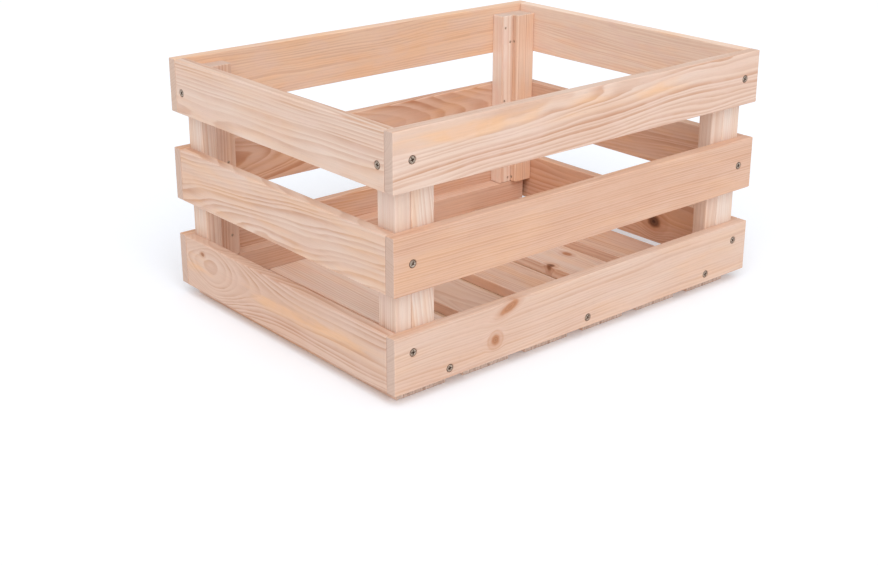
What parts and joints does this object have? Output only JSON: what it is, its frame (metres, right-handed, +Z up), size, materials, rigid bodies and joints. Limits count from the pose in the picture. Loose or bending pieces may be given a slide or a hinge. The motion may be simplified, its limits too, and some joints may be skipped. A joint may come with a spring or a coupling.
{
  "type": "wooden apple crate",
  "caption": "Open rectangular slatted crate for fruit: three rows of pine slats on corner battens over a slatted floor on two cleats.",
  "frame": {"origin": "middle of the crate's footprint, in the plane of the floor boards' undersides", "axes": "+X along the long side, +Y along the short end, +Z up; the front is the -Y side and the left end is at -X"},
  "size_m": [0.5, 0.37, 0.261],
  "materials": {
    "pine_slats": "planed, unfinished, eased edges",
    "pine_battens": "planed, unfinished",
    "pine_cleats": "sawn, unfinished",
    "pine_floor": "planed faces, rough-sawn ends, unfinished",
    "screw_steel": "zinc-plated, slightly browned",
    "nail_steel": "bright wire, dulled"
  },
  "bodies": {
    "root": {"front_slat_top": "pine_slats", "front_slat_middle": "pine_slats", "front_slat_bottom": "pine_slats", "back_slat_top": "pine_slats", "back_slat_middle": "pine_slats", "back_slat_bottom": "pine_slats", "left_slat_top": "pine_slats", "left_slat_middle": "pine_slats", "left_slat_bottom": "pine_slats", "right_slat_top": "pine_slats", "right_slat_middle": "pine_slats", "right_slat_bottom": "pine_slats", "end_batten_front_left": "pine_battens", "end_batten_front_right": "pine_battens", "end_batten_back_left": "pine_battens", "end_batten_back_right": "pine_battens", "side_batten_front_left": "pine_battens", "side_batten_front_right": "pine_battens", "side_batten_back_left": "pine_battens", "side_batten_back_right": "pine_battens", "front_cleat": "pine_cleats", "back_cleat": "pine_cleats", "floor_board_1": "pine_floor", "floor_board_2": "pine_floor", "floor_board_3": "pine_floor", "floor_board_4": "pine_floor", "floor_board_5": "pine_floor", "floor_board_6": "pine_floor", "corner_screws": "screw_steel", "end_screws": "screw_steel", "cleat_screws": "screw_steel", "end_panel_nails": "nail_steel", "side_panel_nails": "nail_steel", "floor_nails": "nail_steel"}
  },
  "joints": []
}
